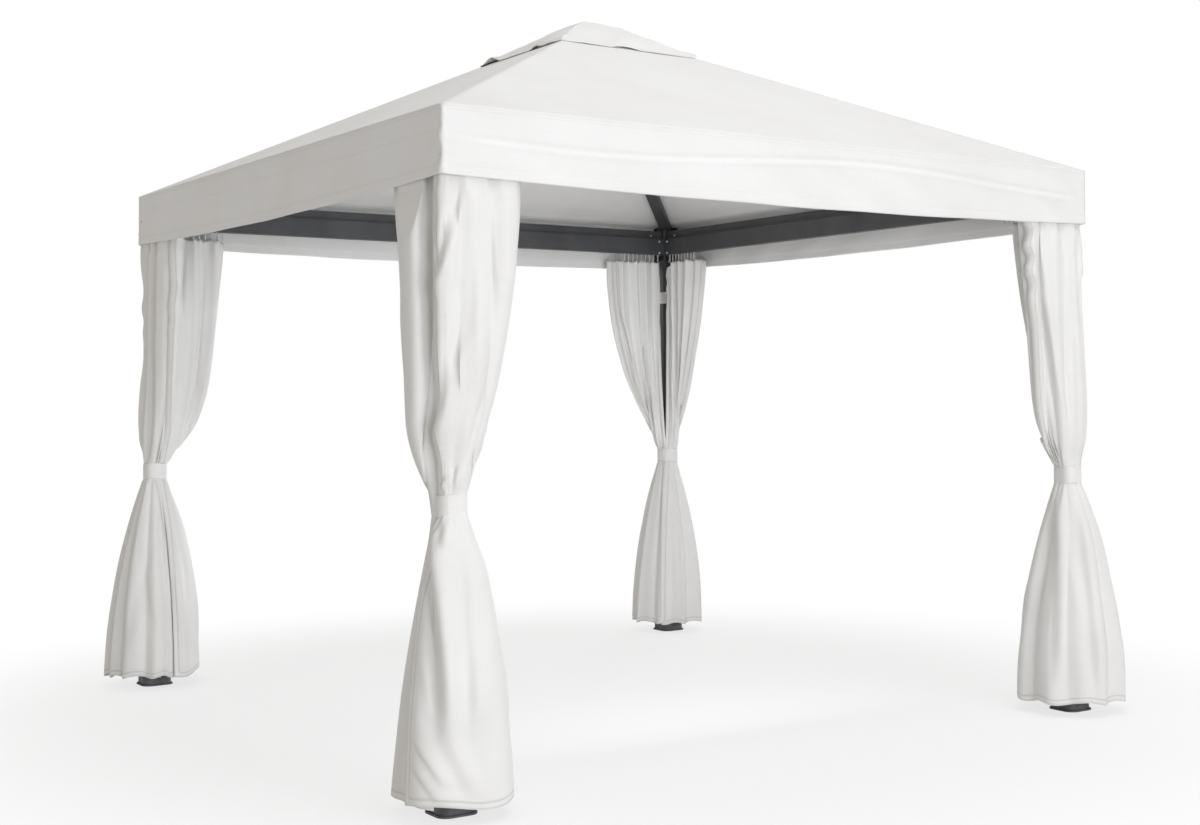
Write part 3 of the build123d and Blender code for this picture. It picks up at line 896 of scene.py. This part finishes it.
def curtain_points(look, columns, rows, view):
    """Grid of points of one curtain round its post, with +X along its own beam.

    A row is a level line of the cloth. Its first part lies in view in a few broad folds, from
    the post to the open edge, and the rest comes back behind it in tight pleats. A row is
    straight on the track, draws in to the post, is tight at the band and flares to the hem."""
    seed, front, hem_height = look["seed"], look["front"], look["hem_height"]
    u = np.linspace(0, 1, columns)
    z = CURTAIN_TOP + (hem_height - CURTAIN_TOP) * np.linspace(0, 1, rows)
    middle, hold = (BAND_LOW + BAND_HIGH) / 2, (BAND_HIGH - BAND_LOW) / 2 - 4 * MM
    upper = np.clip((z - middle - hold) / (CURTAIN_TOP - middle - hold), 0, 1)
    lower = np.clip((middle - hold - z) / (middle - hold - hem_height), 0, 1)
    bag = look["bag"]
    open_up = (1 - bag) * (1 - (1 - upper) ** look["bulge"]) + bag * (1 - (1 - upper) ** 8)
    open_low = 1 - (1 - lower) ** look["flare"]
    free = np.maximum(upper * (1 - upper) * 4, smooth(lower, 0.1, 0.9))[:, None]
    base = curtain_plan(look, u, upper, lower, open_up, open_low)

    # Folds: how many turns of a wave each place is along its row, and how deep the wave is
    in_view = np.clip(u / front, 0, 1)
    in_view = in_view + 0.055 * ripple(in_view, seed + 1, 3, 0.6, 2.2) * np.sin(np.pi * in_view)
    behind = np.clip((u - front) / (1 - front), 0, 1)
    behind = behind + 0.02 * ripple(behind, seed + 2, 3, 1, 4) * np.sin(np.pi * behind)
    skirt = lower > 0
    folds = np.where(skirt, look["hem_folds"], look["folds"])[:, None]
    turns = random.Random(seed).uniform(0, 1) + folds * in_view + look["pleats"] * behind
    drift = look["drift"] * free * fractal(seed + 4, 3 * u, 2.0 * z[:, None], 2)
    angle = 2 * np.pi * (turns + drift)
    least = 1.5 * MM
    fold = look["fold_depth"] * open_up ** 0.55
    fold = np.where(skirt, look["hem_depth"] * open_low ** 0.8, fold)[:, None] + least
    pleat = look["pleat_depth"] * open_up ** 0.45
    pleat = np.where(skirt, look["hem_pleats"] * open_low ** 0.7, pleat)[:, None] + least
    back = smooth(u, front - 0.02, front + 0.05)
    depth = fold * (1 - back) + pleat * back
    depth = depth * (1 + 0.35 * ripple(u, seed + 3, 5, 2, 9)) * smooth(u, 0.0, 0.05)
    room = np.abs(base).max(axis=-1) - POST_HALF - 4 * MM
    depth = np.minimum(depth, np.maximum(room, least))
    wave = np.sin(angle) + 0.22 * np.sin(2 * angle + 3 * u)
    curl = (0.10 + 0.18 * back) * np.sin(2 * angle)
    tangent = np.gradient(base, axis=1)
    tangent = tangent / np.maximum(np.linalg.norm(tangent, axis=-1, keepdims=True), 1e-9)
    normal = np.stack([tangent[..., 1], -tangent[..., 0]], axis=-1)
    plan = base + normal * (depth * wave)[..., None] + tangent * (depth * curl)[..., None]

    # Heights: scallops between the hooks, a dropped corner and an uneven hem
    along = base[0, :, 0]
    scallop = np.abs(np.sin(np.pi * along / HOOK_STEP + 0.4)) ** 0.8
    heading = smooth(along, 0.062, 0.085) * (4 * MM - 10 * MM * scallop)
    drop = look["corner_drop"] * np.exp(-u / 0.03)
    slack = look["hem_slope"] * u + 10 * MM * ripple(u, seed + 5, 4, 0.8, 3.5)
    slack = slack - 6 * MM * np.cos(angle[-1]) * (1 - back)
    height = z[:, None] + heading * smooth(upper, 0.93, 1.0)[:, None]
    height = height - drop * smooth(upper, 0.8, 1.0)[:, None]
    height = height + slack * smooth(lower, 0.3, 1.0)[:, None]
    points = np.concatenate([plan, height[..., None]], axis=-1)

    push = curtain_push(look, view, points, u, z[:, None], upper, lower, free)
    return within_bounds(points + normals_of(points) * push[..., None])


def view_of(corner, on_x_beam):
    """How far sideways, seen from the front left, a step along and off a curtain's beam goes."""
    sign_x, sign_y = CORNERS[corner]
    by_x, by_y = -ACROSS_VIEW[0] * sign_x, ACROSS_VIEW[1] * sign_y
    return (by_x, by_y) if on_x_beam else (by_y, by_x)


def within_bounds(points):
    """Cloth points kept off the post and its foot, and behind the valance."""
    plan, z = points[..., :2], points[..., 2:]
    by_foot = z <= FOOT_TOP + 8 * MM
    plan = clear_of(plan, np.where(by_foot, FOOT_HALF + 2 * MM, POST_HALF + 4.5 * MM))
    limit = -BEHIND_VALANCE - 0.3 * np.maximum(0, VALANCE_LOW - 12 * MM - z)
    return np.concatenate([np.maximum(plan, limit), z], axis=-1)


def place_curtain(points, corner, on_x_beam):
    """Moves points drawn round a post's axis to that post and to the beam they hang on."""
    if not on_x_beam:
        points = points[..., [1, 0, 2]]
    sign_x, sign_y = CORNERS[corner]
    x = points[..., 0] * -sign_x + sign_x * POST
    y = points[..., 1] * -sign_y + sign_y * POST
    return stacked(x, y, points[..., 2])


# How a curtain hangs where its own look says nothing else, with lengths in metres
PLAIN_LOOK = dict(
    calm="outer",  # the face with the broad folds: away from or towards the middle
    front=0.36,  # share of the cloth's width that lies in view
    outside=0.047, begins=0.05, wrap=0.0, turn=0.0, reach=0.33,  # its row at the track
    folds=3.2, fold_depth=0.015, pleats=9, pleat_depth=0.022, drift=0.16,
    bulge=2.0, bag=0.1, puff=0.0, corner_drop=0.0,  # how it draws in to the band
    waist=0.0455,
    skirt=0.172, skirt_behind=0.116, flare=1.8, hem_wrap=0.0,  # how it opens under the band
    hem_folds=4.2, hem_depth=0.018, hem_pleats=0.022, hem_height=0.055, hem_slope=0.0,
    ruffle=0.003, open_ruffle=0.0, creases=5, own_creases=(), tucks=(),
)
# Creases: both ends as width from the edge and height, then width and depth
N_CREASES = (
    (0.33, 1.30, 0.24, 1.08, 0.020, 0.010),
    (0.30, 0.72, 0.20, 0.36, 0.028, 0.010),
    (0.10, 0.34, 0.17, 0.12, 0.022, 0.010),
)
# Tucks, as tucked() takes them, on the curtains of the near, left and right posts
N_TUCKS = (
    (0.034, 1.94, -0.036, 1.66, 0.012, 0.026, 0.05),
    (0.110, 2.02, 0.140, 1.66, 0.012, 0.014, 0.06),
    (0.096, 1.75, 0.075, 1.28, 0.014, 0.014, 0.06),
    (0.050, 1.50, -0.050, 1.16, 0.022, 0.030, 0.07),
    (0.028, 1.09, 0.010, 1.03, 0.008, 0.012, 0.03),
    (0.004, 1.07, -0.026, 1.03, 0.006, 0.010, 0.03),
    (-0.016, 0.930, -0.010, 0.84, 0.008, 0.012, 0.03),
    (-0.044, 0.86, -0.002, 0.34, 0.016, 0.060, 0.10),
    (0.050, 0.80, 0.085, 0.30, 0.020, 0.014, 0.08),
    (-0.088, 0.24, -0.010, 0.13, 0.010, 0.012, 0.05),
    (-0.095, 0.17, -0.020, 0.07, 0.010, 0.010, 0.05),
)
N_LEFT_TUCKS = ((-0.078, 2.05, -0.052, 1.04, -0.026, 0.085, 0.10),)
L_TUCKS = (
    (0.130, 1.95, 0.060, 1.20, 0.018, 0.016, 0.07),
    (0.205, 1.90, 0.170, 1.30, 0.016, 0.014, 0.06),
    (0.060, 0.80, 0.150, 0.25, 0.020, 0.018, 0.08),
)
R_TUCKS = (
    (-0.155, 1.98, -0.046, 1.12, 0.012, 0.034, 0.06),
    (-0.060, 1.95, -0.010, 1.30, 0.020, 0.016, 0.06),
    (0.022, 1.98, 0.060, 1.78, 0.010, 0.012, 0.04),
    (0.010, 1.60, 0.020, 1.10, 0.014, 0.012, 0.05),
    (-0.060, 0.84, -0.100, 0.20, 0.018, 0.030, 0.08),
    (0.020, 0.80, 0.060, 0.15, 0.018, 0.024, 0.08),
)
LOOKS = {
    "front_left_on_front": dict(
        reach=0.255, outside=0.0515, waist=0.0465, folds=2.6, wrap=30.0, hem_wrap=34.0,
        skirt=0.190, hem_folds=2.2, hem_depth=0.010, flare=1.4, fold_depth=0.011, ruffle=0.009,
        creases=2, own_creases=N_CREASES, tucks=N_TUCKS, drift=0.1,
    ),
    "front_left_on_left": dict(
        reach=0.335, outside=0.0335, waist=0.0445, folds=1.8, fold_depth=0.012, bulge=1.6,
        creases=2, skirt=0.174, hem_folds=2.0, hem_depth=0.010, flare=1.25, tucks=N_LEFT_TUCKS,
    ),
    "front_right_on_front": dict(
        reach=0.255, waist=0.0465, bulge=1.4, bag=0.3, puff=0.02, skirt=0.205, wrap=12.0,
        ruffle=0.008, open_ruffle=1.4, folds=2.8, fold_depth=0.011, hem_depth=0.013,
        tucks=R_TUCKS,
    ),
    "front_right_on_right": dict(
        calm="inner", reach=0.235, begins=0.046, bulge=1.4, bag=0.3, puff=0.03, skirt=0.200,
    ),
    "back_left_on_left": dict(
        reach=0.300, bulge=1.4, bag=0.4, puff=0.02, skirt=0.200, turn=-35.0, ruffle=0.007,
        open_ruffle=1.0, hem_folds=6.5, hem_depth=0.014,
    ),
    "back_left_on_back": dict(
        calm="inner", reach=0.315, begins=0.060, bulge=1.3, bag=0.65, turn=35.0, skirt=0.196,
        folds=2.3, fold_depth=0.012, ruffle=0.006, hem_folds=2.0, hem_slope=0.05, tucks=L_TUCKS,
    ),
    "back_right_on_right": dict(
        calm="inner", reach=0.335, begins=0.075, bulge=1.5, corner_drop=0.05, folds=3.8,
        creases=7,
    ),
    "back_right_on_back": dict(
        calm="inner", reach=0.375, begins=0.082, bulge=2.1, folds=3.6, creases=6,
    ),
}


def make_curtains():
    """Two curtains at each post, one on each beam that meets there."""
    for order, (key, own) in enumerate(LOOKS.items()):
        look = {**PLAIN_LOOK, **own, "seed": 100 + 17 * order}
        corner, side = key.split("_on_")
        on_x_beam = side in ("front", "back")
        columns, rows = (230, 200) if corner == "front_left" else (190, 150)
        drawn = curtain_points(look, columns, rows, view_of(corner, on_x_beam))
        points = place_curtain(drawn, corner, on_x_beam)
        across, down = lengths(points, 1), lengths(points, 0)
        open_edge = across[:, int(look["front"] * (columns - 1))][:, None]
        seam = np.minimum(np.minimum(across, np.abs(across - open_edge)), down[-1:] - down)
        piece = sheet_object(
            f"curtain_{key}_cloth", points, curtain_cloth, across, down, 1.2 * MM, seam=seam
        )
        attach(piece, BODY)
        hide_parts(f"curtain_{key}")


def loop_round_post(corner, name, stands_for, angle, reach, z, thickness):
    """Strip of cloth round a post, with its points by direction, distance and height."""
    sign_x, sign_y = CORNERS[corner]
    x, y = reach * np.cos(angle), reach * np.sin(angle)
    points = stacked(x + sign_x * POST, y + sign_y * POST, z)
    across, down = lengths(points, 1), lengths(points, 0)
    loop = sheet_object(name, points[::-1], band_cloth, across, down, thickness)
    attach(loop, BODY)
    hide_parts(stands_for)


def make_bands():
    """Tie band round the curtains and the post at each corner, its end lapped over."""
    rise, along = shares(16, 150)
    laps, layer, high = 1.15, 2.4 * MM, BAND_HIGH - BAND_LOW
    turn = 2 * np.pi * laps * along
    for order, corner in enumerate(CORNERS):
        angle = turn - 3.07 + 0.4 * order
        reach = BAND_HALF - 2.2 * MM + layer * smooth(turn, 5.6, 6.6)
        reach = reach * square_reach(angle, 3.0) - 1.6 * MM * np.abs(2 * rise - 1) ** 6
        reach = reach + 1.2 * MM * ripple(angle, order + 71, 4, 0.3, 1)
        tilt = 4 * MM * np.cos(angle + order)
        z = BAND_LOW + high * rise + tilt * (1 - 0.2 * rise)
        name = f"tie_band_{corner}"
        loop_round_post(corner, f"{name}_cloth", name, angle, reach, z, 1.8 * MM)


def make_straps():
    """Strap of cloth round each post above its curtains' waist."""
    rise, along = shares(12, 120)
    laps, layer, high = 1.12, 1.8 * MM, strap_high.z - strap_low.z
    turn = 2 * np.pi * laps * along
    z = strap_low.z + high * rise
    for order, corner in enumerate(CORNERS):
        angle = turn + 3.6 + order
        half = POST_HALF + 1.5 * MM + layer * smooth(turn, 6.0, 6.8)
        reach = half * np.minimum(square_reach(angle, 4.5), 1.20)
        name = f"strap_{corner}_cloth"
        loop_round_post(corner, name, "post_straps", angle, reach, z, 1.4 * MM)


# Stage


def make_floor():
    """Pale studio floor that fades to white away from the gazebo and keeps its shadow."""
    half = 60.0
    square = [(-half, -half, 0), (half, -half, 0), (half, half, 0), (-half, half, 0)]
    mesh = bpy.data.meshes.new("studio_floor")
    mesh.from_pydata(square, [], [(0, 1, 2, 3)])
    floor = linked("studio_floor", mesh)
    material, tree, output, place = new_material("matt_studio_paint")
    away = add(tree, "ShaderNodeVectorMath", {0: place}, operation="LENGTH").outputs["Value"]
    fade = ranged(tree, away, 1.7, 3.5, 0.71, 1.0, "SMOOTHSTEP")
    share = maths(tree, "MULTIPLY", fade, seen_share(tree))
    paint = add(tree, "ShaderNodeBsdfDiffuse", {"Color": linear("F4F4F4")})
    white = add(tree, "ShaderNodeEmission", {"Color": (1, 1, 1, 1), "Strength": 1.0})
    inputs = {0: share, 1: paint.outputs[0], 2: white.outputs[0]}
    both = add(tree, "ShaderNodeMixShader", inputs)
    tree.links.new(both.outputs[0], output.inputs["Surface"])
    mesh.materials.append(material)


# Place, aim, size and power of each lamp
SOFT_BOXES = {
    "soft_box_left": ((-3.0, -13.0, 1.7), (-1.5, 0, 1.3), (2.4, 3.6), 292),
    "soft_box_front": ((0.6, -13.0, 1.7), (-8.2, 0, 1.3), (3.0, 3.6), 368),
    "soft_box_top": ((0.4, -3.0, 6.5), (0, 0, 2.0), (3.0, 3.0), 114),
    "soft_box_back": ((5.6, 5.0, 1.3), (0, 0, 1.1), (2.4, 2.0), 120),
    "soft_box_inside": ((0.0, -1.2, 0.9), (0, 1.5, 1.35), (1.4, 0.9), 13),
}


def make_light():
    """Even pale surroundings, two far lamps in front, and one above, behind and inside."""
    world = bpy.data.worlds.new("studio")
    bpy.context.scene.world = world
    world.use_nodes = True
    tree = world.node_tree
    tree.nodes.clear()
    output = tree.nodes.new("ShaderNodeOutputWorld")
    fill = add(tree, "ShaderNodeBackground", {"Color": linear("FFFAF4"), "Strength": 0.46})
    white = add(tree, "ShaderNodeBackground", {"Color": (1, 1, 1, 1), "Strength": 1.0})
    inputs = {0: seen_share(tree), 1: fill.outputs[0], 2: white.outputs[0]}
    both = add(tree, "ShaderNodeMixShader", inputs)
    tree.links.new(both.outputs[0], output.inputs["Surface"])
    for name, (place, target, size, power) in SOFT_BOXES.items():
        soft_box(name, Vector(place), Vector(target), size, power)


def soft_box(name, place, target, size, power):
    """One rectangular studio lamp, aimed at a point, that the camera doesn't see."""
    data = bpy.data.lights.new(name, "AREA")
    data.shape = "RECTANGLE"
    data.size, data.size_y = size
    data.energy = power
    data.color = linear("F6F9FF")[:3]
    lamp = linked(name, data)
    lamp.location = place
    lamp.rotation_euler = (target - place).to_track_quat("-Z", "Y").to_euler()
    lamp.visible_camera = False


def make_camera():
    """Camera where the photograph was taken from, at a standing height off the near corner."""
    yaw, pitch, roll = 0.608871, 0.0220195, -0.0053322
    position = Vector((-3.92433, -6.14248, 1.32576))
    width, height, focal = 1200, 825, 1661.30
    centre_x, centre_y = 655.384, 354.641
    right = Vector((math.cos(yaw), -math.sin(yaw), 0))
    level = math.cos(pitch)
    ahead = Vector((math.sin(yaw) * level, math.cos(yaw) * level, math.sin(pitch)))
    up = right.cross(ahead)
    right_rolled = math.cos(roll) * right + math.sin(roll) * up
    up_rolled = -math.sin(roll) * right + math.cos(roll) * up
    data = bpy.data.cameras.new("camera")
    data.sensor_fit = "HORIZONTAL"
    data.sensor_width = 36.0
    data.lens = focal * data.sensor_width / width
    data.shift_x = (width / 2 - centre_x) / width
    data.shift_y = (centre_y - height / 2) / width
    data.clip_end = 200
    camera = linked("camera", data)
    turn = Matrix((right_rolled, up_rolled, -ahead)).transposed().to_4x4()
    camera.matrix_world = Matrix.Translation(position) @ turn
    bpy.context.scene.camera = camera


paint_frame_nodes()
make_roof()
make_valance()
make_hood()
make_curtains()
make_bands()
make_straps()
make_stitches()
make_bolts()
make_hooks()
make_floor()
make_light()
make_camera()
bpy.context.scene.view_settings.view_transform = "Standard"
